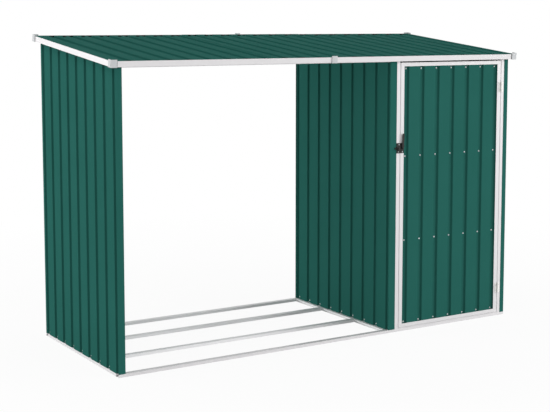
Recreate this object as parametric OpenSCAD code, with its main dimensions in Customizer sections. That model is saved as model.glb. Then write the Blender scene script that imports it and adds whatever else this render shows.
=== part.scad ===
// Log store of folded and ribbed coated steel: an open bay on floor rails, and a cupboard with a hinged door.
// Millimetres. +X right, +Y back, +Z up. The origin is on the ground under the middle of the roof.

/* [Store] */
// Width of the base frame
base_w = 2386; // [2000:1:2800]
// Depth of the base frame
base_d = 916; // [800:1:1100]
// Height of the roof trim's lower edge at the front
eaves_h = 1448; // [1300:1:1700]
// Slope of the roof, falling to the front, in degrees
roof_pitch = 6.3; // [4:0.1:9]
// How far the roof trim stands out past the base frame
overhang = 28; // [20:1:50]
// Width of the cupboard, from the partition's outer face to the right wall's outer face
cupboard_w = 816; // [700:1:900]

/* [Ribbed sheets] */
// Thickness of the ribbed sheets
sheet_t = 1; // [0.8:0.1:2]
// Depth of the grooves
groove_d = 9; // [6:0.5:14]
// Width of the flat bottom of a groove
groove_w = 22; // [14:1:34]
// Width of each sloping side of a groove
groove_s = 6; // [3:0.5:10]
// Spacing of the grooves in the side walls and the partition
wall_pitch = 109; // [90:0.5:130]
// Middle of the first groove in those walls, from the front of the base
wall_first_groove = 11; // [8:1:14]
// Spacing of the grooves in the back wall
back_pitch = 104; // [90:0.5:130]
// Spacing of the grooves in the roof
roof_rib_pitch = 104.6; // [90:0.1:120]
// Middle of the first groove in the roof, from the left trim
roof_first_groove = 91; // [40:1:100]
// How far one roof sheet laps the next
roof_lap = 30; // [20:1:40]

/* [Base frame] */
// Width of the base rails
rail_w = 30; // [24:1:40]
// Height of the base rails
rail_h = 15; // [10:1:25]
// Thickness of the folded frame profiles
fold_t = 1.2; // [1:0.1:2]
// Width of the lips turned in under the base rails
rail_lip = 7; // [4:0.5:10]
// Width of the rail under the partition
partition_rail_w = 45; // [35:1:60]
// How far the partition's rail stands out into the open bay
partition_rail_out = 15; // [5:1:25]
// Front edge of the first floor rail, from the front of the base
floor_rail_1 = 292; // [200:1:350]
// Front edge of the second floor rail, from the front of the base
floor_rail_2 = 612; // [500:1:700]

/* [Posts and beams] */
// Face width of the left wall's corner posts
left_post_w = 36; // [25:1:50]
// Face width of the partition's front post
partition_post_w = 42; // [30:1:50]
// Face width of the right front post
right_post_w = 29; // [22:1:40]
// Depth of the posts' legs along the walls
post_leg = 32; // [20:1:45]
// Depth of the front and back beams, along the slope
beam_w = 25; // [18:1:35]
// How far the beams reach below the roof trim's lower edge
beam_drop = 6; // [3:0.5:18]
// Width of the sloping rails along the tops of the walls
top_rail_w = 22; // [15:1:30]

/* [Roof edge] */
// Height of the roof trim
trim_h = 28; // [24:1:40]
// Thickness of the roof trim
trim_t = 1.5; // [1:0.1:2.5]
// Width of the trim's flange under the roof sheets
trim_flange = 22; // [15:1:25]
// How far the corner caps stand out from the trim
cap_out = 4; // [2.5:0.5:6]
// Length of the corner caps' legs
cap_leg = 32; // [28:1:60]
// How far the caps and joint covers reach below the trim
cap_lip = 2; // [1:0.5:4]
// How far the caps and joint covers rise above the trim
cap_rise = 7; // [2:0.5:10]
// Width of the joint covers on the front and back trims
joiner_w = 33; // [20:1:45]

/* [Door] */
// Running gap round the door
door_gap = 5; // [5:0.5:8]
// Gap between the top of the door and the roof trim
door_top_gap = 7; // [6:0.5:15]
// Width of the door jambs' faces
jamb_w = 20; // [18:1:30]
// Width of the door's stiles
stile_w = 23; // [20:1:32]
// Height of the door's top and bottom rails
door_rail_h = 20; // [14:1:26]
// Thickness of the door
door_t = 25; // [22:1:32]
// Width of the door stop behind the door
stop_w = 14; // [10:1:20]
// Spacing of the grooves in the door
door_pitch = 103; // [90:0.5:115]
// Height of the door's braces
brace_h = 30; // [20:1:45]
// Height of the middle of the lower brace
brace_1_z = 493; // [400:1:600]
// Height of the middle of the upper brace
brace_2_z = 945; // [800:1:1050]

/* [Hinges] */
// Height of a hinge
hinge_h = 54; // [42:1:80]
// Width of a hinge leaf, from the pin
hinge_leaf_w = 17; // [12:0.5:19]
// Thickness of a hinge leaf
hinge_t = 1.5; // [1:0.1:2.5]
// Radius of a hinge pin
hinge_pin_r = 2.2; // [1.5:0.1:3]
// Outer radius of the hinge knuckles
knuckle_r = 4.5; // [4:0.1:6]
// Height of the middle of the lower hinge
hinge_1_z = 160; // [100:1:250]
// Height of the middle of the upper hinge
hinge_2_z = 1294; // [1150:1:1350]

/* [Latch] */
// Height of the latch bar's pivot
latch_z = 990; // [800:1:1100]
// Height of the latch's plates
latch_plate_h = 54; // [46:1:70]
// Thickness of the latch's plates
latch_plate_t = 3; // [2:0.5:5]
// Width of the latch's plates
latch_plate_w = 20; // [17:0.5:20]
// Length of the latch bar above its pivot
latch_bar_l = 77; // [60:1:100]
// Width of the latch bar
latch_bar_w = 12; // [8:0.5:13]
// Thickness of the latch bar
latch_bar_t = 4; // [3:0.5:6]
// Lean of the raised latch bar to the right, in degrees
latch_lean = 4; // [2:1:15]
// Radius of the latch bar's pivot pin
latch_pin_r = 2.5; // [2:0.1:3.2]

/* [Hidden] */
$fn = 48;
pin_play = 0.05;
knuckle_play = 0.4;
latch_play = 2;
latch_stop_play = 0.5;
latch_stop_low = 8;
latch_stop_high = 14;
latch_hook_w = 14;
latch_hook_t = 2.5;
pin_head_over = 1.5;
pin_head_t = 2;
slope_room = 4;

// Plan of the walls, from the left wall's outer face to the right wall's
left_x = -base_w / 2;
right_x = base_w / 2;
front_y = -base_d / 2;
back_y = base_d / 2;
partition_x = right_x - cupboard_w;
wall_d = groove_d + sheet_t;

// Roof frame: s runs up the slope from the trim's front face, n stands square to the roof
trim_x = base_w / 2 + overhang;
sheet_end_x = trim_x - trim_t;
roof_y = front_y - overhang + trim_h * sin(roof_pitch) / 2;
roof_len = (base_d + 2 * overhang) / cos(roof_pitch);
sheet_seat_n = trim_h - wall_d;
wall_top_n = sheet_seat_n - 1;

// Door and its opening
jamb_l_x = partition_x + partition_post_w;
jamb_r_x = right_x - right_post_w;
opening_l_x = jamb_l_x + jamb_w;
opening_r_x = jamb_r_x - jamb_w;
door_l_x = opening_l_x + door_gap;
door_r_x = opening_r_x - door_gap;
door_bottom = rail_h + door_gap;
door_top = eaves_h - door_top_gap;
stop_depth = door_t + door_gap;
panel_y = front_y + fold_t;
panel_back_y = panel_y + wall_d;

// Hinges and latch
hinge_x = (door_r_x + opening_r_x) / 2;
hinge_y = front_y - knuckle_r - knuckle_play;
hinge_clear = knuckle_r + 1;
latch_x = door_l_x + stile_w / 2;
latch_face_y = front_y - latch_plate_t;
latch_bar_y = latch_face_y - latch_play - latch_bar_t;
keeper_x = jamb_l_x + jamb_w / 2;

green = [0.14, 0.36, 0.33];
pale = [0.86, 0.85, 0.86];
cap_grey = [0.78, 0.78, 0.79];
black = [0.12, 0.12, 0.12];

// Distance up the slope of a place y at the level of the roof trim's lower edge
function slope_at(y) = (y - roof_y) / cos(roof_pitch);

// Groove centres in a row from the first one, as many as fit before the sheet's end
function rows(first, end, pitch) =
    let (room = end - first - groove_w / 2 - groove_s - sheet_t)
    [for (i = [0 : floor(room / pitch)]) first + i * pitch];

// Groove centres, spaced evenly about the middle of a stretch from a to b
function even_grooves(a, b, pitch) =
    let (count = floor((b - a - groove_w - 2 * groove_s - 2 * sheet_t) / pitch) + 1,
         first = (a + b) / 2 - (count - 1) * pitch / 2)
    [for (i = [0 : count - 1]) first + i * pitch];

// Outline of a ribbed sheet from a to b: the outer face lies on n = 0 and the grooves go to n = -groove_d.
// An open end starts in the bottom of the first groove.
function ribbed_outline(a, b, grooves, open_end = false) =
    let (bend = sheet_t * tan(atan(groove_d / groove_s) / 2),
         h = groove_w / 2,
         e = h + groove_s,
         low = -groove_d - sheet_t,
         first = open_end ? 1 : 0)
    concat(
        open_end ? [[a, -groove_d], [grooves[0] + h, -groove_d], [grooves[0] + e, 0]] : [[a, 0]],
        [for (i = [first : 1 : len(grooves) - 1]) let (c = grooves[i]) each
            [[c - e, 0], [c - h, -groove_d], [c + h, -groove_d], [c + e, 0]]],
        [[b, 0], [b, -sheet_t]],
        [for (i = [len(grooves) - 1 : -1 : first]) let (c = grooves[i]) each
            [[c + e + bend, -sheet_t], [c + h + bend, low], [c - h - bend, low], [c - e - bend, -sheet_t]]],
        open_end ? [[grooves[0] + e + bend, -sheet_t], [grooves[0] + h + bend, low], [a, low]] : [[a, -sheet_t]]);

// Section of a profile folded from strip: open below, with a lip turned in under each side
function channel_outline(w, h, lip) = [
    [0, 0], [0, h], [w, h], [w, 0], [w - lip, 0], [w - lip, fold_t], [w - fold_t, fold_t],
    [w - fold_t, h - fold_t], [fold_t, h - fold_t], [fold_t, fold_t], [lip, fold_t], [lip, 0]];

// Section of a folded angle: one leg along +X, one along +Y, meeting at the origin
function angle_outline(leg_x, leg_y, t) = [[0, 0], [leg_x, 0], [leg_x, t], [t, t], [t, leg_y], [0, leg_y]];

// Section of a door edge: a face, the door's edge, and a shorter leg behind
function edge_outline(face, depth, behind) = [
    [0, 0], [face, 0], [face, fold_t], [fold_t, fold_t], [fold_t, depth - fold_t],
    [behind, depth - fold_t], [behind, depth], [0, depth]];

// Puts what is drawn in roof coordinates (x, s, n) in its place on the slope
module on_roof() {
    translate([0, roof_y, eaves_h])
        rotate([roof_pitch, 0, 0])
            children();
}

// Runs a section drawn across the width, in (y, z) or (s, n), from a to b along X
module along_width(a, b) {
    translate([a, 0, 0])
        rotate([90, 0, 90])
            linear_extrude(height = b - a)
                children();
}

// Runs a section drawn in (x, z) or (x, n) from a to b along Y or up the slope
module along_depth(a, b) {
    translate([0, b, 0])
        rotate([90, 0, 0])
            linear_extrude(height = b - a)
                children();
}

// A piece of constant plan that stands on the base rails and is cut off below the roof sheets
module standing() {
    intersection() {
        translate([0, 0, rail_h])
            linear_extrude(height = eaves_h + base_d)
                children();
        on_roof()
            translate([-base_w, -base_d, wall_top_n - 2 * eaves_h])
                cube([2 * base_w, 3 * base_d, 2 * eaves_h]);
    }
}

// Base frame and floor rails
module rail_across(a, b, y) {
    color(pale)
        along_width(a, b)
            translate([y, 0])
                polygon(channel_outline(rail_w, rail_h, rail_lip));
}

module rail_back(x, w) {
    color(pale)
        along_depth(front_y + rail_w, back_y - rail_w)
            translate([x, 0])
                polygon(channel_outline(w, rail_h, rail_lip));
}

module base_front_rail() {
    rail_across(left_x, right_x, front_y);
}

module base_back_rail() {
    rail_across(left_x, right_x, back_y - rail_w);
}

module base_left_rail() {
    rail_back(left_x, rail_w);
}

module base_right_rail() {
    rail_back(right_x - rail_w, rail_w);
}

module base_partition_rail() {
    rail_back(partition_x - partition_rail_out, partition_rail_w);
}

module floor_rail_front() {
    rail_across(left_x + rail_w, partition_x - partition_rail_out, front_y + floor_rail_1);
}

module floor_rail_back() {
    rail_across(left_x + rail_w, partition_x - partition_rail_out, front_y + floor_rail_2);
}

// Ribbed walls: the outer face of a side wall looks to the left
module side_wall(x, y_end) {
    grooves = rows(front_y + wall_first_groove, y_end, wall_pitch);
    outline = ribbed_outline(front_y + fold_t, y_end, grooves, true);
    color(green)
        standing()
            polygon([for (p = outline) [x - p[1], p[0]]]);
}

module left_wall() {
    side_wall(left_x, back_y - fold_t);
}

module partition_wall() {
    side_wall(partition_x, back_y - wall_d);
}

module right_wall() {
    mirror([1, 0, 0]) side_wall(-right_x, back_y - wall_d);
}

module cupboard_back_wall() {
    grooves = even_grooves(partition_x, right_x, back_pitch);
    color(green)
        standing()
            translate([0, back_y])
                polygon(ribbed_outline(partition_x, right_x, grooves));
}

// Corner posts: a face across the corner, and a leg against the inside of the wall's grooves
module post_plan(face_w) {
    square([face_w, fold_t]);
    translate([wall_d, 0]) square([fold_t, post_leg]);
}

module left_front_post() {
    color(green) standing() translate([left_x, front_y]) post_plan(left_post_w);
}

module left_back_post() {
    color(green) standing() translate([left_x, back_y]) mirror([0, 1]) post_plan(left_post_w);
}

module partition_front_post() {
    color(green) standing() translate([partition_x, front_y]) post_plan(partition_post_w);
}

module right_front_post() {
    color(green) standing() translate([right_x, front_y]) mirror([1, 0]) post_plan(right_post_w);
}

// Angles inside the back corners of the cupboard
module back_corner_angle() {
    mirror([0, 1]) polygon(angle_outline(post_leg, post_leg, fold_t));
}

module partition_back_post() {
    color(pale) standing() translate([partition_x + wall_d, back_y - wall_d]) back_corner_angle();
}

module right_back_post() {
    color(pale) standing() translate([right_x - wall_d, back_y - wall_d]) mirror([1, 0]) back_corner_angle();
}

// Beams and sloping rails under the roof sheets
module beam(a, b, s) {
    color(pale)
        on_roof()
            along_width(a, b)
                translate([s, -beam_drop])
                    polygon(channel_outline(beam_w, sheet_seat_n + beam_drop, rail_lip));
}

module front_beam() {
    beam(left_x + left_post_w, partition_x, slope_at(front_y));
}

module bay_back_beam() {
    beam(left_x + left_post_w, partition_x, slope_at(back_y) - beam_w);
}

module cupboard_back_beam() {
    beam(partition_x + wall_d + fold_t, right_x - wall_d - fold_t,
        slope_at(back_y - wall_d - fold_t - slope_room) - beam_w);
}

module door_head() {
    beam(partition_x + wall_d + top_rail_w, right_x - wall_d - top_rail_w,
        slope_at(front_y + stop_depth + fold_t + slope_room));
}

module wall_top_rail(x) {
    color(pale)
        on_roof()
            along_depth(
                slope_at(front_y + post_leg + slope_room),
                slope_at(back_y - wall_d - fold_t - 2 * slope_room) - beam_w)
                translate([x, -beam_drop])
                    polygon(channel_outline(top_rail_w, sheet_seat_n + beam_drop, rail_lip));
}

module left_top_rail() {
    wall_top_rail(left_x + wall_d);
}

module partition_top_rail() {
    wall_top_rail(partition_x + wall_d);
}

module right_top_rail() {
    wall_top_rail(right_x - wall_d - top_rail_w);
}

// Door jambs: a face, a side towards the door, and a stop behind the door
module jamb_plan() {
    back = stop_depth + fold_t;
    polygon([
        [0, 0], [jamb_w, 0], [jamb_w, stop_depth], [jamb_w + stop_w, stop_depth],
        [jamb_w + stop_w, back], [jamb_w - fold_t, back], [jamb_w - fold_t, fold_t], [0, fold_t]]);
}

module door_jamb_left() {
    color(pale) standing() translate([jamb_l_x, front_y]) jamb_plan();
}

module door_jamb_right() {
    color(pale) standing() translate([jamb_r_x, front_y]) mirror([1, 0]) jamb_plan();
}

// Roof sheets: the middle one laps over the crests of the other two, about a third of the ribs from each side
roof_grooves = rows(roof_first_groove - sheet_end_x, sheet_end_x - trim_flange, roof_rib_pitch);
lap_ribs = round(len(roof_grooves) / 3);
lap_l_x = roof_grooves[lap_ribs] - roof_rib_pitch / 2;
lap_r_x = roof_grooves[len(roof_grooves) - lap_ribs] - roof_rib_pitch / 2;

module roof_sheet(a, b, lift) {
    grooves = [for (c = roof_grooves) if (c > a && c < b) c];
    color(green)
        on_roof()
            along_depth(trim_t, roof_len - trim_t)
                translate([0, trim_h + lift])
                    polygon(ribbed_outline(a, b, grooves));
}

module roof_sheet_left() {
    roof_sheet(-sheet_end_x, lap_l_x + roof_lap / 2, 0);
}

module roof_sheet_middle() {
    roof_sheet(lap_l_x - roof_lap / 2, lap_r_x + roof_lap / 2, sheet_t);
}

module roof_sheet_right() {
    roof_sheet(lap_r_x - roof_lap / 2, sheet_end_x, 0);
}

// Roof trims: angles with a flange under the sheets, which stops inside the side trims
module edge_trim(a, b) {
    color(pale) {
        along_width(a, b)
            square([trim_t, trim_h]);
        along_width(max(a, -sheet_end_x), min(b, sheet_end_x))
            translate([0, sheet_seat_n - trim_t]) square([trim_flange, trim_t]);
    }
}

module front_trim(a, b) {
    on_roof() edge_trim(a, b);
}

module back_trim(a, b) {
    on_roof() translate([0, roof_len, 0]) mirror([0, 1, 0]) edge_trim(a, b);
}

module trim_front_left() {
    front_trim(-trim_x, 0);
}

module trim_front_right() {
    front_trim(0, trim_x);
}

module trim_back_left() {
    back_trim(-trim_x, 0);
}

module trim_back_right() {
    back_trim(0, trim_x);
}

module trim_left() {
    color(pale)
        on_roof()
            along_depth(trim_t, roof_len - trim_t)
                translate([-trim_x, 0]) {
                    square([trim_t, trim_h]);
                    translate([0, trim_h - sheet_t - trim_t]) square([trim_flange, trim_t]);
                }
}

module trim_right() {
    mirror([1, 0, 0]) trim_left();
}

// Covers over the joints of the trims, and caps over the corners
cap_h = cap_lip + trim_h + cap_rise;

module trim_joiners() {
    color(cap_grey)
        on_roof()
            for (s = [-cap_out, roof_len])
                translate([-joiner_w / 2, s, -cap_lip])
                    cube([joiner_w, cap_out, cap_h]);
}

module corner_cap() {
    translate([-trim_x - cap_out, -cap_out, -cap_lip])
        linear_extrude(height = cap_h)
            polygon(angle_outline(cap_leg, cap_leg, cap_out));
}

module cap_pair() {
    corner_cap();
    mirror([1, 0, 0]) corner_cap();
}

module corner_caps_front() {
    color(cap_grey) on_roof() cap_pair();
}

module corner_caps_back() {
    color(cap_grey) on_roof() translate([0, roof_len, 0]) mirror([0, 1, 0]) cap_pair();
}

// Door: a ribbed panel held in a folded frame, with braces behind it
module door_panel() {
    a = door_l_x + fold_t;
    b = door_r_x - fold_t;
    low = door_bottom + fold_t;
    high = door_top - fold_t;
    outline = ribbed_outline(a, b, even_grooves(a, b, door_pitch));
    color(green)
        translate([0, panel_y, low])
            linear_extrude(height = high - low)
                polygon([for (p = outline) [p[0], -p[1]]]);
}

module stile() {
    linear_extrude(height = door_top - door_bottom)
        polygon(edge_outline(stile_w, door_t, stile_w / 2));
}

module door_stile_left() {
    color(pale) translate([door_l_x, front_y, door_bottom]) stile();
}

module door_stile_right() {
    color(pale) translate([door_r_x, front_y, door_bottom]) mirror([1, 0, 0]) stile();
}

module door_rail() {
    outline = edge_outline(door_rail_h, door_t, door_rail_h);
    color(pale)
        along_width(door_l_x + stile_w, door_r_x - stile_w)
            polygon([for (p = outline) [front_y + p[1], p[0]]]);
}

module door_rail_bottom() {
    translate([0, 0, door_bottom]) door_rail();
}

module door_rail_top() {
    translate([0, 0, door_top]) mirror([0, 0, 1]) door_rail();
}

module door_braces() {
    depth = door_t - 2 * fold_t - wall_d;
    outline = channel_outline(brace_h, depth, rail_lip);
    color(pale)
        for (z = [brace_1_z, brace_2_z])
            along_width(door_l_x + fold_t, door_r_x - fold_t)
                polygon([for (p = outline) [panel_back_y + p[1], z - brace_h / 2 + p[0]]]);
}

// Hinges: the jamb's leaf has the pin and the outer knuckles, the door's leaf the middle knuckle
knuckle_h = hinge_h / 3;

module hinge_plate() {
    translate([hinge_clear, front_y - hinge_y - hinge_t, 0])
        cube([hinge_leaf_w - hinge_clear, hinge_t, hinge_h]);
}

module knuckle(z, h) {
    translate([0, 0, z]) cylinder(r = knuckle_r, h = h);
    translate([0, front_y - hinge_y - hinge_t, z]) cube([hinge_clear, hinge_t, h]);
}

module jamb_leaf() {
    hinge_plate();
    for (z = [0, 2 * knuckle_h]) knuckle(z, knuckle_h);
    cylinder(r = hinge_pin_r, h = hinge_h);
}

module door_leaf() {
    difference() {
        mirror([1, 0, 0]) {
            hinge_plate();
            knuckle(knuckle_h + knuckle_play, knuckle_h - 2 * knuckle_play);
        }
        cylinder(r = hinge_pin_r + pin_play, h = hinge_h);
    }
}

module hinge_jamb_leaves() {
    color(pale) for (z = [hinge_1_z, hinge_2_z]) translate([hinge_x, hinge_y, z - hinge_h / 2]) jamb_leaf();
}

module hinge_door_leaves() {
    color(pale) for (z = [hinge_1_z, hinge_2_z]) translate([hinge_x, hinge_y, z - hinge_h / 2]) door_leaf();
}

// Latch: a bar on a pin drops from its raised place into a hook on the jamb
module latch_plate(x) {
    translate([x - latch_plate_w / 2, latch_face_y, latch_z - latch_plate_h / 2])
        cube([latch_plate_w, latch_plate_t, latch_plate_h]);
}

module latch_keeper() {
    shelf_z = latch_z - latch_bar_w / 2 - latch_play;
    hook_y = latch_bar_y - latch_play - latch_hook_t;
    color(black) {
        latch_plate(keeper_x);
        translate([keeper_x - latch_hook_w / 2, hook_y, shelf_z - latch_hook_t]) {
            cube([latch_hook_w, latch_face_y - hook_y, latch_hook_t]);
            cube([latch_hook_w, latch_hook_t, latch_hook_t + latch_play + latch_bar_w]);
        }
    }
}

module latch_body() {
    stop_x = latch_stop_high * tan(latch_lean) + latch_bar_w / 2 / cos(latch_lean) + latch_stop_play;
    pin_l = latch_face_y - latch_bar_y + knuckle_play;
    color(black) {
        latch_plate(latch_x);
        translate([latch_x, latch_face_y, latch_z])
            rotate([90, 0, 0]) {
                cylinder(r = latch_pin_r, h = pin_l);
                translate([0, 0, pin_l]) cylinder(r = latch_pin_r + pin_head_over, h = pin_head_t);
            }
        translate([latch_x + stop_x, latch_bar_y, latch_z + latch_stop_low])
            cube([latch_plate_w / 2 - stop_x, latch_face_y - latch_bar_y, latch_stop_high - latch_stop_low]);
    }
}

module latch_bar() {
    color(black)
        translate([latch_x, latch_bar_y + latch_bar_t, latch_z])
            rotate([0, latch_lean, 0])
                rotate([90, 0, 0])
                    difference() {
                        union() {
                            cylinder(r = latch_bar_w / 2, h = latch_bar_t);
                            translate([-latch_bar_w / 2, 0, 0])
                                cube([latch_bar_w, latch_bar_l - latch_bar_w / 2, latch_bar_t]);
                            translate([0, latch_bar_l - latch_bar_w / 2, 0])
                                cylinder(r = latch_bar_w / 2, h = latch_bar_t);
                        }
                        translate([0, 0, -latch_bar_t])
                            cylinder(r = latch_pin_r + pin_play, h = 3 * latch_bar_t);
                    }
}

base_front_rail();
base_back_rail();
base_left_rail();
base_right_rail();
base_partition_rail();
floor_rail_front();
floor_rail_back();
left_wall();
partition_wall();
right_wall();
cupboard_back_wall();
left_front_post();
left_back_post();
partition_front_post();
partition_back_post();
right_front_post();
right_back_post();
front_beam();
bay_back_beam();
cupboard_back_beam();
left_top_rail();
partition_top_rail();
right_top_rail();
door_head();
door_jamb_left();
door_jamb_right();
roof_sheet_left();
roof_sheet_middle();
roof_sheet_right();
trim_front_left();
trim_front_right();
trim_back_left();
trim_back_right();
trim_left();
trim_right();
trim_joiners();
corner_caps_front();
corner_caps_back();
door_panel();
door_stile_left();
door_stile_right();
door_rail_top();
door_rail_bottom();
door_braces();
hinge_jamb_leaves();
hinge_door_leaves();
latch_keeper();
latch_body();
latch_bar();
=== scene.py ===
"""Looks of a log store of ribbed and folded coated steel, built round its CAD frame.

Pieces are drawn in millimetres, in the frame's own axes, and finished in metres."""

import math

import bmesh
import bpy
from mathutils import Matrix, Vector


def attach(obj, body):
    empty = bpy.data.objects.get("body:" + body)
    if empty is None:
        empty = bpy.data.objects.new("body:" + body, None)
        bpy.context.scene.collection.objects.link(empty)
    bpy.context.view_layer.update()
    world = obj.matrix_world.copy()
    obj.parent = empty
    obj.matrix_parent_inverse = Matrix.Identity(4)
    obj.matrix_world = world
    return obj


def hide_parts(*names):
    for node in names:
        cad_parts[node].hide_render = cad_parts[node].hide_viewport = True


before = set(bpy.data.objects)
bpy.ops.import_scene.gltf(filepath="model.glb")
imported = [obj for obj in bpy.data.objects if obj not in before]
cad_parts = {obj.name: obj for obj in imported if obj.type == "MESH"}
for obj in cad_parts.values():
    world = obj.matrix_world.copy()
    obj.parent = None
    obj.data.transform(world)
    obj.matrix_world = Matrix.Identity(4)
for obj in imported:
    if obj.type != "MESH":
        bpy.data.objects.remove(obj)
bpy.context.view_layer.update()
scene = bpy.context.scene

# View of the photograph: a long lens above the roof, looking down at the front left corner of the open bay.
# Part of the downward look is lens shift, which keeps the posts close to upright.
look_down = math.radians(6.005)
turn_right = math.radians(31.821)
lens = bpy.data.cameras.new("view")
lens.sensor_width = 36
lens.lens = 79.42
lens.shift_y = -0.10
camera = bpy.data.objects.new("view", lens)
camera.location = (-3.4823, -5.5298, 1.6458)
camera.rotation_euler = (math.radians(90) - look_down, 0, -turn_right)
scene.collection.objects.link(camera)
scene.camera = camera
scene.view_settings.view_transform = "Standard"


# Studio: a plain white floor that keeps the shadow, and four large soft boxes.
# They stand to the right, to the front right, to the left behind, and overhead,
# so that groove sides turned to the camera stay dark.
def linear(code):
    """Linear red, green, blue and alpha of an sRGB colour such as '26604f'."""
    parts = [int(code[i : i + 2], 16) / 255 for i in (0, 2, 4)]
    return [c / 12.92 if c <= 0.04045 else ((c + 0.055) / 1.055) ** 2.4 for c in parts] + [1]


def add_node(tree, kind, **inputs):
    """A node of that kind, with its input sockets set by name, or linked where the value is a socket."""
    node = tree.nodes.new(kind)
    for name, value in inputs.items():
        socket = node.inputs[name.replace("_", " ")]
        if isinstance(value, bpy.types.NodeSocket):
            tree.links.new(value, socket)
        else:
            socket.default_value = value
    return node


def soft_box(name, place, target, width, height, watts):
    """An area light at place that looks at target."""
    light = bpy.data.lights.new(name, "AREA")
    light.shape = "RECTANGLE"
    light.size = width
    light.size_y = height
    light.energy = watts
    box = bpy.data.objects.new(name, light)
    box.location = place
    box.rotation_euler = (Vector(target) - Vector(place)).to_track_quat("-Z", "Y").to_euler()
    scene.collection.objects.link(box)


soft_box("soft_box_right", (17.7, -9.9, 2.9), (0.4, 0, 0.8), width=7.2, height=4.4, watts=2200)
soft_box("soft_box_front", (8.0, -14.0, 4.8), (0, 0, 0.5), width=6.0, height=5.0, watts=580)
soft_box("soft_box_left", (-14.94, 12.53, 1.75), (-0.4, 0, 0.8), width=7.2, height=3.2, watts=2010)
soft_box("soft_box_top", (-5.5, 0.0, 8.0), (0, 0, 1.5), width=4.0, height=4.0, watts=130)


def seen_directly(tree):
    """1 for rays that show the background itself: from the camera, or mirrored or passed on by a surface."""
    rays = add_node(tree, "ShaderNodeLightPath").outputs
    total = rays["Is Camera Ray"]
    for kind in ("Is Glossy Ray", "Is Transmission Ray"):
        either = add_node(tree, "ShaderNodeMath")
        either.operation = "MAXIMUM"
        tree.links.new(total, either.inputs[0])
        tree.links.new(rays[kind], either.inputs[1])
        total = either.outputs[0]
    return total


def blend(tree, share, first, second):
    """Mix of two shaders."""
    mix = add_node(tree, "ShaderNodeMixShader", Fac=share)
    tree.links.new(first.outputs[0], mix.inputs[1])
    tree.links.new(second.outputs[0], mix.inputs[2])
    return mix.outputs[0]


world = bpy.data.worlds.new("studio")
world.use_nodes = True
tree = world.node_tree
tree.nodes.clear()
room = add_node(tree, "ShaderNodeBackground", Color=linear("ffffff"), Strength=0.6)
white = add_node(tree, "ShaderNodeBackground", Color=linear("ffffff"), Strength=1.0)
add_node(tree, "ShaderNodeOutputWorld", Surface=blend(tree, seen_directly(tree), room, white))
scene.world = world

# Matt white paper: the shadow shows on it faintly near the store, and it runs out to plain white.
FLOOR_REACH = 40
paper = bpy.data.materials.new("white_paper")
paper.use_nodes = True
tree = paper.node_tree
tree.nodes.clear()
matt = add_node(tree, "ShaderNodeBsdfDiffuse", Color=linear("e4e4e4"))
glow = add_node(tree, "ShaderNodeEmission", Color=linear("ffffff"), Strength=1.0)
away = add_node(tree, "ShaderNodeVectorMath", Vector=add_node(tree, "ShaderNodeTexCoord").outputs["Object"])
away.operation = "LENGTH"
fade = add_node(tree, "ShaderNodeMapRange", Value=away.outputs["Value"])
for name, value in (("From Min", 1.4), ("From Max", 4.0), ("To Min", 0.94), ("To Max", 1.0)):
    fade.inputs[name].default_value = value
share = add_node(tree, "ShaderNodeMath")
share.operation = "MULTIPLY"
tree.links.new(seen_directly(tree), share.inputs[0])
tree.links.new(fade.outputs["Result"], share.inputs[1])
add_node(tree, "ShaderNodeOutputMaterial", Surface=blend(tree, share.outputs[0], matt, glow))
sheet = bmesh.new()
bmesh.ops.create_grid(sheet, x_segments=1, y_segments=1, size=FLOOR_REACH)
floor_mesh = bpy.data.meshes.new("floor")
sheet.to_mesh(floor_mesh)
sheet.free()
floor_mesh.materials.append(paper)
floor = bpy.data.objects.new("floor", floor_mesh)
scene.collection.objects.link(floor)


# Base frame and floor rails: lipped channels folded from coated steel strip, lying on the ground.
# The outer rails meet at the corners, and the floor rails cross the open bay.
def coated(name, light, dark, cloud_mm, rough, peel_mm, peel, shine=0.1):
    """A coated or plated surface: two near colours in soft clouds, uneven gloss, and a fine uneven skin."""
    gloss_spread = 0.06
    skin_depth = 0.0002
    material = bpy.data.materials.new(name)
    material.use_nodes = True
    tree = material.node_tree
    tree.nodes.clear()
    place = add_node(tree, "ShaderNodeTexCoord").outputs["Object"]
    cloud = add_node(tree, "ShaderNodeTexNoise", Vector=place, Scale=1000 / cloud_mm, Detail=3.0)
    colour = add_node(tree, "ShaderNodeMix")
    colour.data_type = "RGBA"
    tree.links.new(cloud.outputs["Fac"], colour.inputs["Factor"])
    # Sockets 6 and 7 are the mix's two colours, and output 2 is the colour it gives.
    colour.inputs[6].default_value = linear(light)
    colour.inputs[7].default_value = linear(dark)
    gloss = add_node(tree, "ShaderNodeMapRange", Value=cloud.outputs["Fac"])
    gloss.inputs["To Min"].default_value = rough - gloss_spread
    gloss.inputs["To Max"].default_value = rough + gloss_spread
    skin = add_node(tree, "ShaderNodeTexNoise", Vector=place, Scale=1000 / peel_mm, Detail=1.0)
    bump = add_node(tree, "ShaderNodeBump", Height=skin.outputs["Fac"], Strength=peel, Distance=skin_depth)
    shader = add_node(
        tree,
        "ShaderNodeBsdfPrincipled",
        Base_Color=colour.outputs[2],
        Roughness=gloss.outputs["Result"],
        Normal=bump.outputs["Normal"],
        Specular_IOR_Level=shine,
    )
    add_node(tree, "ShaderNodeOutputMaterial", Surface=shader.outputs["BSDF"])
    return material


def facing(origin, u, v):
    """Matrix that puts a section drawn in (u, v) in place. The section runs along u x v."""
    u, v = Vector(u), Vector(v)
    matrix = Matrix((u, v, u.cross(v))).transposed().to_4x4()
    matrix.translation = origin
    return matrix


def vertices(geometry):
    """The vertices among the parts that an operator has made."""
    return [part for part in geometry if isinstance(part, bmesh.types.BMVert)]


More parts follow.
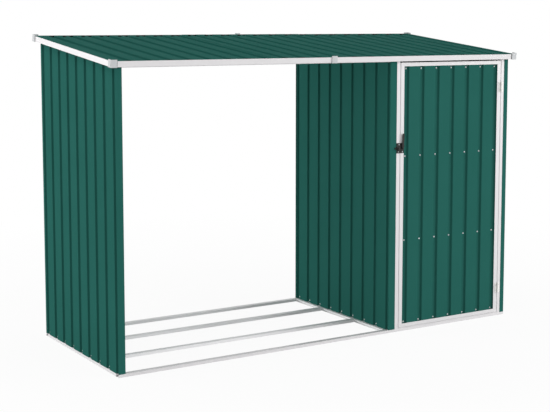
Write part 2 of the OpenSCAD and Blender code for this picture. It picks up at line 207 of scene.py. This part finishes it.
def folded(line, length, thick, bend, place, cut=None):
    """Strip folded along a line, which is the outer face, on the left as it is drawn. Bends are rounded.
    A cut is a plane, (point, normal), beyond which the strip is sheared off."""
    bm = bmesh.new()
    corners = [bm.verts.new((u, v, 0)) for u, v in line]
    edges = [bm.edges.new(pair) for pair in zip(corners, corners[1:])]
    grown = bmesh.ops.extrude_edge_only(bm, edges=edges)["geom"]
    bmesh.ops.translate(bm, vec=(0, 0, length), verts=vertices(grown))
    folds = [e for e in bm.edges if len(e.link_faces) == 2]
    bmesh.ops.bevel(
        bm,
        geom=folds,
        offset=bend,
        offset_type="OFFSET",
        segments=4,
        profile=0.5,
        affect="EDGES",
        material=-1,
    )
    if cut:
        bmesh.ops.bisect_plane(
            bm,
            geom=bm.verts[:] + bm.edges[:] + bm.faces[:],
            plane_co=place.inverted() @ cut[0],
            plane_no=place.to_3x3().transposed() @ cut[1],
            clear_outer=True,
        )
    bmesh.ops.solidify(bm, geom=bm.faces[:], thickness=thick)
    bm.transform(place)
    return bm


def finished(bm, name, material, nodes=(), body="store"):
    """The drawn piece as an object in metres, which stands for its CAD nodes and rides on their body."""
    smooth_below = math.radians(30)
    bm.transform(Matrix.Scale(0.001, 4))
    bmesh.ops.recalc_face_normals(bm, faces=bm.faces[:])
    for edge in bm.edges:
        edge.smooth = edge.calc_face_angle(0) < smooth_below
    for face in bm.faces:
        face.smooth = True
    mesh = bpy.data.meshes.new(name)
    bm.to_mesh(mesh)
    bm.free()
    mesh.materials.append(material)
    piece = bpy.data.objects.new(name, mesh)
    scene.collection.objects.link(piece)
    shade = piece.modifiers.new("flat_faces", "WEIGHTED_NORMAL")
    shade.keep_sharp = True
    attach(piece, body)
    if nodes:
        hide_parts(*nodes)
    return piece


def channel(width, height, lip=7):
    """Section of a lipped channel that is open below."""
    return [(lip, 0), (0, 0), (0, height), (width, height), (width, 0), (width - lip, 0)]


X, Y, Z = (1, 0, 0), (0, 1, 0), (0, 0, 1)
WIDTH, DEPTH = 2386, 916
LEFT, RIGHT = -WIDTH / 2, WIDTH / 2
FRONT, BACK = -DEPTH / 2, DEPTH / 2
PARTITION = 377
STRIP, STRIP_BEND = 1.2, 1.6
RAIL_W, RAIL_H = 30, 15
PARTITION_RAIL_W = 45
FLOOR_RAIL_FRONT, FLOOR_RAIL_BACK = FRONT + 292, FRONT + 612

# Off-white stoved coat, a little cloudy: half gloss, so bends and edges catch a soft light.
pale_coat = coated(
    "off_white_coated_steel", "dad8d9", "d2d0d2", cloud_mm=240, rough=0.36, peel_mm=3.0, peel=0.12, shine=0.5
)
# The same off-white coat painted lighter, as painted light: it lifts the roof's shade, so the rails under the
# roof still look white.
pale_coat_painted_lighter = coated(
    "off_white_coat_painted_lighter", "f0eff0", "e8e7e8", cloud_mm=240, rough=0.4, peel_mm=3.0, peel=0.12, shine=0.5
)

bay_floor = (LEFT + RAIL_W, PARTITION - RAIL_W / 2)
# The back rail and the floor rails lie in the roof's shade and take the coat painted lighter, as painted
# light.
for name, (start, end), y, coat in (
    ("base_front_rail", (LEFT, RIGHT), FRONT, pale_coat),
    ("base_back_rail", (LEFT, RIGHT), BACK - RAIL_W, pale_coat_painted_lighter),
    ("floor_rail_front", bay_floor, FLOOR_RAIL_FRONT, pale_coat_painted_lighter),
    ("floor_rail_back", bay_floor, FLOOR_RAIL_BACK, pale_coat_painted_lighter),
):
    bm = folded(channel(RAIL_W, RAIL_H), end - start, STRIP, STRIP_BEND, facing((start, y, 0), Y, Z))
    finished(bm, name + "_folded", coat, [name])
# The partition's rail lies in the roof's shade too and takes the coat painted lighter, as painted light.
for name, x, width, coat in (
    ("base_left_rail", LEFT, RAIL_W, pale_coat),
    ("base_right_rail", RIGHT - RAIL_W, RAIL_W, pale_coat),
    ("base_partition_rail", PARTITION - RAIL_W / 2, PARTITION_RAIL_W, pale_coat_painted_lighter),
):
    place = facing((x, BACK - RAIL_W, 0), X, Z)
    bm = folded(channel(width, RAIL_H), DEPTH - 2 * RAIL_W, STRIP, STRIP_BEND, place)
    finished(bm, name + "_folded", coat, [name])


# Ribbed walls: green coated sheet with rolled grooves, standing on the base rails and sheared to the slope.
# The rolls leave rounded bends. The side walls begin at the front in an open groove behind the post.
def ribbed(start, end, grooves, open_start=False):
    """Outer face of a ribbed sheet from start to end, with a groove about each of those places."""
    line = [] if open_start else [(start, 0)]
    for middle in grooves:
        line += [
            (middle - HALF_MOUTH, 0),
            (middle - HALF_FLOOR, -GROOVE_DEPTH),
            (middle + HALF_FLOOR, -GROOVE_DEPTH),
            (middle + HALF_MOUTH, 0),
        ]
    if open_start:
        line = [(start, -GROOVE_DEPTH)] + line[2:]
    return line + [(end, 0)]


def spaced(middle, pitch, count):
    """Places at an even pitch about a middle."""
    return [middle + pitch * (i - (count - 1) / 2) for i in range(count)]


SHEET, SHEET_BEND = 1, 1.8
GROOVE_DEPTH, HALF_FLOOR, HALF_MOUTH = 9, 11, 17
WALL = GROOVE_DEPTH + SHEET
SIDE_PITCH, SIDE_COUNT = 109, 9
BACK_PITCH, BACK_COUNT = 104, 8
LEFTWARDS = (-1, 0, 0)
mirror_x = Matrix.Scale(-1, 4, X)

# The roof stands in axes of its own: across, up the slope, and out from it, from the front trim's lower edge.
SLOPE = math.radians(6.3)
OVERHANG, TRIM_H, EAVES = 28, 28, 1448
ROOF_START = FRONT - OVERHANG + TRIM_H / 2 * math.sin(SLOPE)
ROOF = Matrix.Translation((0, ROOF_START, EAVES)) @ Matrix.Rotation(SLOPE, 4, "X")
ROOF_TURN = ROOF.to_3x3()
ROOF_LENGTH = (DEPTH + 2 * OVERHANG) / math.cos(SLOPE)
UNDER_ROOF = (ROOF @ Vector((0, 0, TRIM_H - WALL - SHEET)), ROOF_TURN @ Vector(Z))
TALL = 1700

# Dull dark green coat, even in colour and with hardly any shine: only the grooves' sides change its tone.
green_coat = coated(
    "green_coated_steel", "286058", "245a52", cloud_mm=260, rough=0.55, peel_mm=3.0, peel=0.12, shine=0.001
)

side_grooves = [FRONT + HALF_FLOOR + SIDE_PITCH * i for i in range(SIDE_COUNT)]
for name, x, end, turn in (
    ("left_wall", LEFT, BACK - STRIP, Matrix()),
    ("partition_wall", PARTITION, BACK - WALL, Matrix()),
    ("right_wall", -RIGHT, BACK - WALL, mirror_x),
):
    line = ribbed(FRONT + STRIP, end, side_grooves, True)
    place = turn @ facing((x, 0, RAIL_H), Y, LEFTWARDS)
    bm = folded(line, TALL, SHEET, SHEET_BEND, place, UNDER_ROOF)
    finished(bm, name + "_sheet", green_coat, [name])
back_grooves = spaced((PARTITION + RIGHT) / 2, BACK_PITCH, BACK_COUNT)
line = ribbed(PARTITION, RIGHT, back_grooves)
bm = folded(line, TALL, SHEET, SHEET_BEND, facing((0, BACK, RAIL_H), X, Y), UNDER_ROOF)
finished(bm, "cupboard_back_wall_sheet", green_coat, ["cupboard_back_wall"])

# Corner posts: green strip with its face hemmed double across the end of a wall, and a leg inside the wall.
# The cupboard's back corners are held by plain off-white angles.
LEFT_POST, PARTITION_POST, RIGHT_POST = 36, 42, 29
POST_LEG, HEM_BEND = 32, 0.55
mirror_y = Matrix.Scale(-1, 4, Y)
for name, x, width, turn in (
    ("left_front_post", LEFT, LEFT_POST, Matrix()),
    ("left_back_post", LEFT, LEFT_POST, mirror_y),
    ("partition_front_post", PARTITION, PARTITION_POST, Matrix()),
    ("right_front_post", -RIGHT, RIGHT_POST, mirror_x),
):
    leg = WALL + STRIP
    line = [(leg, POST_LEG), (leg, STRIP), (width, STRIP), (width, 0), (0, 0)]
    place = turn @ facing((x, FRONT, RAIL_H), X, Y)
    bm = folded(line, TALL, STRIP / 2, HEM_BEND, place, UNDER_ROOF)
    finished(bm, name + "_folded", green_coat, [name])
for name, x, turn in (
    ("partition_back_post", PARTITION + WALL, Matrix()),
    ("right_back_post", -RIGHT + WALL, mirror_x),
):
    line = [(0, -POST_LEG), (0, 0), (POST_LEG, 0)]
    place = turn @ facing((x, BACK - WALL, RAIL_H), X, Y)
    bm = folded(line, TALL, STRIP, STRIP_BEND, place, UNDER_ROOF)
    finished(bm, name + "_folded", pale_coat, [name])


# Beams and wall top rails: lipped channels like the base rails, but deeper, of off-white coated strip.
# They lie along the slope between the posts, and carry the roof sheets on their flat tops.
def up_slope(y):
    """Distance up the slope of a place y at the roof trim's lower edge."""
    return (y - ROOF.translation.y) / math.cos(SLOPE)


BEAM_W, BEAM_H, TOP_RAIL_W = 25, 24, 22
BEAM_LOW = TRIM_H - WALL - BEAM_H
CLEAR = 4
JAMB_SIDE = 30
BEAM_BACK = BACK - WALL - STRIP - CLEAR
for name, start, end, s in (
    ("front_beam", LEFT + LEFT_POST, PARTITION, up_slope(FRONT)),
    ("bay_back_beam", LEFT + LEFT_POST, PARTITION, up_slope(BACK) - BEAM_W),
    ("cupboard_back_beam", PARTITION + WALL + STRIP, RIGHT - WALL - STRIP, up_slope(BEAM_BACK) - BEAM_W),
    (
        "door_head",
        PARTITION + WALL + TOP_RAIL_W,
        RIGHT - WALL - TOP_RAIL_W,
        up_slope(FRONT + JAMB_SIDE + STRIP + CLEAR),
    ),
):
    place = ROOF @ facing((start, s, BEAM_LOW), Y, Z)
    bm = folded(channel(BEAM_W, BEAM_H), end - start, STRIP, STRIP_BEND, place)
    finished(bm, name + "_folded", pale_coat, [name])
low = up_slope(FRONT + POST_LEG + CLEAR)
high = up_slope(BEAM_BACK - CLEAR) - BEAM_W
for name, x in (
    ("left_top_rail", LEFT + WALL),
    ("partition_top_rail", PARTITION + WALL),
    ("right_top_rail", RIGHT - WALL - TOP_RAIL_W),
):
    place = ROOF @ facing((x, high, BEAM_LOW), X, Z)
    bm = folded(channel(TOP_RAIL_W, BEAM_H), high - low, STRIP, STRIP_BEND, place)
    finished(bm, name + "_folded", pale_coat, [name])

# Door jambs: off-white coated strip folded twice, standing on the base rail beside the posts of the doorway.
# Each has a face beside the post, a side along the door's edge, and a stop behind the door.
JAMB_FACE, JAMB_STOP = 20, 14
for name, x, turn in (
    ("door_jamb_left", PARTITION + PARTITION_POST, Matrix()),
    ("door_jamb_right", -RIGHT + RIGHT_POST, mirror_x),
):
    line = [(JAMB_FACE + JAMB_STOP, JAMB_SIDE), (JAMB_FACE, JAMB_SIDE), (JAMB_FACE, 0), (0, 0)]
    place = turn @ facing((x, FRONT, RAIL_H), X, Y)
    bm = folded(line, TALL, STRIP, STRIP_BEND, place, UNDER_ROOF)
    finished(bm, name + "_folded", pale_coat, [name])

# Roof: three sheets of ribbed green steel like the walls, the middle one lapped over the others' crests.
# They lie on the beams, and their ends stop inside the front and back trims.
HEM = 1.5
EDGE = RIGHT + OVERHANG - HEM
ROOF_PITCH, ROOF_COUNT, FIRST_GROOVE = 104.6, 23, 91
LAP, LEFT_LAP_BEFORE, RIGHT_LAP_BEFORE = 15, 8, 15
roof_grooves = [FIRST_GROOVE - EDGE + ROOF_PITCH * i for i in range(ROOF_COUNT)]
left_lap = roof_grooves[LEFT_LAP_BEFORE] - ROOF_PITCH / 2
right_lap = roof_grooves[RIGHT_LAP_BEFORE] - ROOF_PITCH / 2
for name, start, end, lift in (
    ("roof_sheet_left", -EDGE, left_lap + LAP, 0),
    ("roof_sheet_middle", left_lap - LAP, right_lap + LAP, SHEET),
    ("roof_sheet_right", right_lap - LAP, EDGE, 0),
):
    line = ribbed(start, end, [g for g in roof_grooves if start < g < end])
    place = ROOF @ facing((0, ROOF_LENGTH - HEM, TRIM_H + lift), X, Z)
    bm = folded(line, ROOF_LENGTH - 2 * HEM, SHEET, SHEET_BEND, place)
    finished(bm, name + "_ribbed", green_coat, [name])

# Groove closers: short plugs of foam, cut a little smaller than the roof's grooves, pushed into both ends of
# each groove against the trims.
# Their near-black is partly the foam's own colour and partly painted shade in the groove ends.
PLUG, PLUG_INSET = 12, 2
PLUG_SLACK, PLUG_DEPTH = 0.4, 8.5
# Closed-cell foam, quite matt and nearly black, partly its own colour and partly painted shade: the end of a
# groove shows as a dark mark.
foam_and_painted_shade = coated(
    "dark_foam_and_painted_shade", "26302d", "1f2725", cloud_mm=8, rough=0.9, peel_mm=1.0, peel=0.4, shine=0.0
)
bm = bmesh.new()
for middle in roof_grooves:
    top = TRIM_H - PLUG_SLACK + (SHEET if left_lap < middle < right_lap else 0)
    half_top = HALF_MOUTH - PLUG_SLACK
    low = top - PLUG_DEPTH
    outline = [(-half_top, top), (-HALF_FLOOR, low), (HALF_FLOOR, low), (half_top, top)]
    for end in (PLUG_INSET + PLUG, ROOF_LENGTH - PLUG_INSET):
        face = bm.faces.new([bm.verts.new(ROOF @ Vector((middle + u, end, n))) for u, n in outline])
        grown = bmesh.ops.extrude_face_region(bm, geom=[face])["geom"]
        bmesh.ops.translate(bm, vec=ROOF_TURN @ Vector((0, -PLUG, 0)), verts=vertices(grown))
finished(bm, "groove_closers", foam_and_painted_shade)


# Roof trims: off-white angles of coated steel along the four edges, hemmed double along the lower edge.
# Their flange goes under the roof sheets; the front and back trims are in two lengths.
def hemmed(flange):
    """Section of a trim: flange at that height, inner layer, hem, and outer face."""
    return [(FLANGE_W, flange), (HEM, flange), (HEM, 0), (0, 0), (0, TRIM_H)]


FLANGE_W, TRIM_BEND = 22, 0.7
UNDER_GROOVES = TRIM_H - WALL - HEM
UNDER_CRESTS = TRIM_H - SHEET - HEM
FRONTWARDS = (0, -1, 0)
for name, start, end in (("trim_front_left", -EDGE, 0), ("trim_front_right", 0, EDGE)):
    place = ROOF @ facing((start, 0, 0), Y, Z)
    bm = folded(hemmed(UNDER_GROOVES), end - start, HEM / 2, TRIM_BEND, place)
    finished(bm, name + "_folded", pale_coat, [name])
for name, start, end in (("trim_back_left", -EDGE, 0), ("trim_back_right", 0, EDGE)):
    place = ROOF @ facing((end, ROOF_LENGTH, 0), FRONTWARDS, Z)
    bm = folded(hemmed(UNDER_GROOVES), end - start, HEM / 2, TRIM_BEND, place)
    finished(bm, name + "_folded", pale_coat, [name])
for name, turn in (("trim_left", Matrix()), ("trim_right", mirror_x)):
    place = turn @ ROOF @ facing((LEFT - OVERHANG, ROOF_LENGTH, 0), X, Z)
    bm = folded(hemmed(UNDER_CRESTS), ROOF_LENGTH, HEM / 2, TRIM_BEND, place)
    finished(bm, name + "_folded", pale_coat, [name])


# Corner caps and joint covers: moulded grey-white plastic, pushed over the ends of the trims.
# The moulding leaves soft edges.
def softened(nodes, name, radius, material, body="store"):
    """The CAD shape of these nodes with its edges rounded."""
    flat = math.radians(1)
    sharp = math.radians(40)
    bm = bmesh.new()
    for node in nodes:
        bm.from_mesh(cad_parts[node].data)
    bm.transform(Matrix.Scale(1000, 4))
    bmesh.ops.remove_doubles(bm, verts=bm.verts[:], dist=0.01)
    bmesh.ops.dissolve_limit(
        bm, angle_limit=flat, use_dissolve_boundaries=False, verts=bm.verts[:], edges=bm.edges[:]
    )
    bmesh.ops.bevel(
        bm,
        geom=[e for e in bm.edges if e.calc_face_angle(0) > sharp],
        offset=radius,
        offset_type="OFFSET",
        segments=2,
        profile=0.5,
        affect="EDGES",
        clamp_overlap=True,
        material=-1,
    )
    return finished(bm, name, material, nodes, body)


CAP_EDGE = 1.0
# Moulded plastic, duller, greyer and cooler than the coated steel beside it.
grey_plastic = coated("grey_white_plastic", "c4c6c7", "bcbec0", cloud_mm=60, rough=0.5, peel_mm=1.2, peel=0.2)
for node in ("trim_joiners", "corner_caps_front", "corner_caps_back"):
    softened([node], node + "_moulded", CAP_EDGE, grey_plastic)


# Cap shadow strips: thin near-black strips on the front trim, along the inner edges of the front corner caps.
# They are painted shadow in the step between cap and trim, and show as a short dark line.
def block(low, high, radius=0.6):
    """A block between two corners, with its edges rounded."""
    low, high = Vector(low), Vector(high)
    bm = bmesh.new()
    bmesh.ops.create_cube(
        bm, size=1, matrix=Matrix.Translation((low + high) / 2) @ Matrix.Diagonal((high - low).to_4d())
    )
    bmesh.ops.bevel(
        bm,
        geom=bm.edges[:],
        offset=radius,
        offset_type="OFFSET",
        segments=2,
        profile=0.5,
        affect="EDGES",
        material=-1,
    )
    return bm


SHADOW_STRIP_W, SHADOW_STRIP_OUT, SHADOW_STRIP_IN, SHADOW_STRIP_EDGE = 2.6, 0.8, 0.3, 0.3
SHADOW_STRIP_LOW, SHADOW_STRIP_HIGH = 2, TRIM_H - 1
for name, start in (("cap_painted_shadow_left", LEFT), ("cap_painted_shadow_right", RIGHT - SHADOW_STRIP_W)):
    low = (start, -SHADOW_STRIP_OUT, SHADOW_STRIP_LOW)
    high = (start + SHADOW_STRIP_W, SHADOW_STRIP_IN, SHADOW_STRIP_HIGH)
    bm = block(low, high, SHADOW_STRIP_EDGE)
    bm.transform(ROOF)
    finished(bm, name, foam_and_painted_shade)

# Door: a green ribbed steel panel in a frame of folded off-white strip, with two channel braces behind.
# The panel's edges lie behind the faces of the stiles and rails.
RUNNING_GAP = 5
JAMB_L = PARTITION + PARTITION_POST + JAMB_FACE
JAMB_R = RIGHT - RIGHT_POST - JAMB_FACE
DOOR_L, DOOR_R = JAMB_L + RUNNING_GAP, JAMB_R - RUNNING_GAP
DOOR_LOW, DOOR_HIGH = RAIL_H + RUNNING_GAP, 1441
DOOR_W, DOOR_H, DOOR_THICK = DOOR_R - DOOR_L, DOOR_HIGH - DOOR_LOW, 25
DOOR_PITCH, DOOR_COUNT = 103, 7
STILE, DOOR_RAIL = 23, 20
BRACE_W, BRACE_LOW, BRACE_HIGH = 30, 493, 945
DOWN = (0, 0, -1)
door_grooves = spaced((DOOR_L + DOOR_R) / 2, DOOR_PITCH, DOOR_COUNT)
line = ribbed(DOOR_L + STRIP, DOOR_R - STRIP, door_grooves)
place = facing((0, FRONT + STRIP, DOOR_HIGH - STRIP), X, FRONTWARDS)
bm = folded(line, DOOR_H - 2 * STRIP, SHEET, SHEET_BEND, place)
finished(bm, "door_panel_sheet", green_coat, ["door_panel"], "door")
stile = [(STILE, 0), (0, 0), (0, DOOR_THICK), (STILE / 2, DOOR_THICK)]
rail = [(DOOR_RAIL, 0), (0, 0), (0, DOOR_THICK), (DOOR_RAIL, DOOR_THICK)]
rail_length = DOOR_W - 2 * STILE
for name, line, length, place in (
    ("door_stile_left", stile, DOOR_H, facing((DOOR_L, FRONT, DOOR_LOW), X, Y)),
    ("door_stile_right", stile, DOOR_H, facing((DOOR_R, FRONT, DOOR_HIGH), LEFTWARDS, Y)),
    ("door_rail_bottom", rail, rail_length, facing((DOOR_R - STILE, FRONT, DOOR_LOW), Z, Y)),
    ("door_rail_top", rail, rail_length, facing((DOOR_L + STILE, FRONT, DOOR_HIGH), DOWN, Y)),
):
    bm = folded(line, length, STRIP, STRIP_BEND, place)
    finished(bm, name + "_folded", pale_coat, [name], "door")
brace_section = channel(BRACE_W, DOOR_THICK - 2 * STRIP - WALL)
bm = bmesh.new()
for z in (BRACE_LOW, BRACE_HIGH):
    place = facing((DOOR_R - STRIP, FRONT + STRIP + WALL, z - BRACE_W / 2), Z, Y)
    brace = folded(brace_section, DOOR_W - 2 * STRIP, STRIP, STRIP_BEND, place)
    part = bpy.data.meshes.new("brace")
    brace.to_mesh(part)
    brace.free()
    bm.from_mesh(part)
    bpy.data.meshes.remove(part)
finished(bm, "door_braces_folded", pale_coat, ["door_braces"], "door")

# Hinges and latch: pressed hinge leaves with a white coat, and a black latch with a bar that drops on a pin.
# The leaves are screwed to the jamb and the door, and so are the latch's two halves.
LEAF_EDGE, LATCH_EDGE = 0.4, 0.5
# White coat on pressed steel: bright and plain, so that a hinge shows only as a pale plate.
hinge_white = coated("white_coated_hinge", "efedea", "e6e4e1", cloud_mm=25, rough=0.45, peel_mm=2.0, peel=0.1)
# Black electro-coat: dull, with a faint grey light along its edges.
black = coated("black_coated_latch", "2f2f2e", "282827", cloud_mm=30, rough=0.45, peel_mm=1.5, peel=0.15)
softened(["hinge_jamb_leaves"], "hinge_jamb_leaves_pressed", LEAF_EDGE, hinge_white)
softened(["hinge_door_leaves"], "hinge_door_leaves_pressed", LEAF_EDGE, hinge_white, "door")
softened(["latch_keeper"], "latch_keeper_pressed", LATCH_EDGE, black)
softened(["latch_body"], "latch_body_pressed", LATCH_EDGE, black, "door")
softened(["latch_bar"], "latch_bar_pressed", LATCH_EDGE, black, "latch_bar")

# Latch tongue and stub: small black pieces of strip, fixed to the latch's keeper on the jamb.
# The tongue covers the gap beside the door, and the stub shows on the keeper's far side.
LATCH_HEIGHT = 990
TONGUE_HALF, TONGUE_THICK, TONGUE_ON_JAMB, TONGUE_ON_DOOR = 26.6, 2.8, 1, 0.6
STUB_HALF, STUB_THICK, STUB_GAP, STUB_ON_POST, STUB_ON_JAMB = 5, 3, 0.2, 13, 1
post_edge = PARTITION + PARTITION_POST
bm = block(
    (JAMB_L - TONGUE_ON_JAMB, FRONT - TONGUE_THICK, LATCH_HEIGHT - TONGUE_HALF),
    (DOOR_L + TONGUE_ON_DOOR, FRONT, LATCH_HEIGHT + TONGUE_HALF),
)
finished(bm, "latch_tongue", black)
bm = block(
    (post_edge - STUB_ON_POST, FRONT - STUB_THICK, LATCH_HEIGHT - STUB_HALF),
    (post_edge + STUB_ON_JAMB, FRONT - STUB_GAP, LATCH_HEIGHT + STUB_HALF),
)
finished(bm, "latch_stub", black)

# Door seal: a soft off-white strip along both jambs and the base rail, set a little behind their faces.
# It nearly fills the running gap, so that the door's edge shows as a faint line.
SEAL_BEHIND, SEAL_DEPTH, SEAL_GAP = 2, 10, 1
for name, start, end, top in (
    ("door_seal_left", JAMB_L, DOOR_L - SEAL_GAP, DOOR_HIGH),
    ("door_seal_right", DOOR_R + SEAL_GAP, JAMB_R, DOOR_HIGH),
    ("door_seal_bottom", DOOR_L - SEAL_GAP, DOOR_R + SEAL_GAP, DOOR_LOW - SEAL_GAP),
):
    face = FRONT + SEAL_BEHIND
    bm = block((start, face, RAIL_H), (end, face + SEAL_DEPTH, top))
    finished(bm, name, pale_coat)


# Screws: zinc-plated pan heads on washers, in the grooves over the frame behind them.
# The door has four rows of seven, and each groove of the walls has one at its foot.
# Smaller ones hold the hinge leaves and the latch.
def screw(bm, place, towards, radius, washer):
    """A pan head on its washer at place, standing out towards that side."""
    washer_h, washer_slope, head_flat = 1.2, 0.8, 0.62
    turn = Vector(towards).to_track_quat("Z", "Y").to_matrix().to_4x4()
    spot = Matrix.Translation(place) @ turn
    bmesh.ops.create_cone(
        bm,
        cap_ends=True,
        segments=14,
        radius1=washer,
        radius2=washer - washer_slope,
        depth=washer_h,
        matrix=spot @ Matrix.Translation((0, 0, washer_h / 3)),
    )
    dome = spot @ Matrix.Translation((0, 0, washer_h * 3 / 4)) @ Matrix.Diagonal((1, 1, head_flat, 1))
    bmesh.ops.create_uvsphere(bm, u_segments=12, v_segments=8, radius=radius, matrix=dome)


DOOR_SCREW, SMALL_SCREW, WALL_SCREW = (3.2, 4.6), (2.4, 3.0), (2.9, 4.2)
DOOR_ROWS = (48, 492, 944, 1409)
LEAF_ROWS = (145, 175, 1279, 1309)
HINGE_PIN, LEAF_SCREW_OUT, LEAF_THICK = DOOR_R + RUNNING_GAP / 2, 11.25, 1.5
LATCH_PIN, LATCH_SCREW_OUT, LATCH_THICK = DOOR_L + STILE / 2, 19, 3
KEEPER_HIGH_IN, KEEPER_LOW_IN = 6, 10
WALL_ROW = 26
# Bright zinc plate, pale and a little uneven: each head shows as a light dot.
bright = coated("zinc_plated_screw", "dfe0e2", "d2d3d6", cloud_mm=12, rough=0.35, peel_mm=1.0, peel=0.05)
leaf_face = FRONT - LEAF_THICK
latch_face = FRONT - LATCH_THICK
latch_low, latch_high = LATCH_HEIGHT - LATCH_SCREW_OUT, LATCH_HEIGHT + LATCH_SCREW_OUT
bm = bmesh.new()
for x in door_grooves:
    for z in DOOR_ROWS:
        screw(bm, (x, FRONT + STRIP + GROOVE_DEPTH, z), FRONTWARDS, *DOOR_SCREW)
screw(bm, (LATCH_PIN, latch_face, latch_low), FRONTWARDS, *SMALL_SCREW)
for z in LEAF_ROWS:
    screw(bm, (HINGE_PIN - LEAF_SCREW_OUT, leaf_face, z), FRONTWARDS, *SMALL_SCREW)
finished(bm, "door_screws", bright, (), "door")
bm = bmesh.new()
for y in side_grooves[1:]:
    for x, towards in (
        (LEFT + GROOVE_DEPTH, LEFTWARDS),
        (PARTITION + GROOVE_DEPTH, LEFTWARDS),
        (RIGHT - GROOVE_DEPTH, X),
    ):
        screw(bm, (x, y, WALL_ROW), towards, *WALL_SCREW)
for x in back_grooves:
    screw(bm, (x, BACK - GROOVE_DEPTH, WALL_ROW), Y, *WALL_SCREW)
screw(bm, (JAMB_L - KEEPER_HIGH_IN, latch_face, latch_high), FRONTWARDS, *SMALL_SCREW)
screw(bm, (JAMB_L - KEEPER_LOW_IN, latch_face, latch_low), FRONTWARDS, *SMALL_SCREW)
for z in LEAF_ROWS:
    screw(bm, (HINGE_PIN + LEAF_SCREW_OUT, leaf_face, z), FRONTWARDS, *SMALL_SCREW)
finished(bm, "wall_screws", bright)

# Roof screws: capped heads on rubber washers, one on each crest along the roof's high edge.
# The caps and washers are as dark and matt as the foam plugs, and have its material.
ROOF_SCREW, FROM_BACK_EDGE = (9.0, 12.0), 65
bm = bmesh.new()
for groove in roof_grooves[:-1]:
    crest = groove + ROOF_PITCH / 2
    top = TRIM_H + (SHEET if left_lap - LAP < crest < right_lap + LAP else 0)
    spot = ROOF @ Vector((crest, ROOF_LENGTH - FROM_BACK_EDGE, top))
    screw(bm, spot, ROOF_TURN @ Vector(Z), *ROOF_SCREW)
finished(bm, "roof_screws", foam_and_painted_shade)
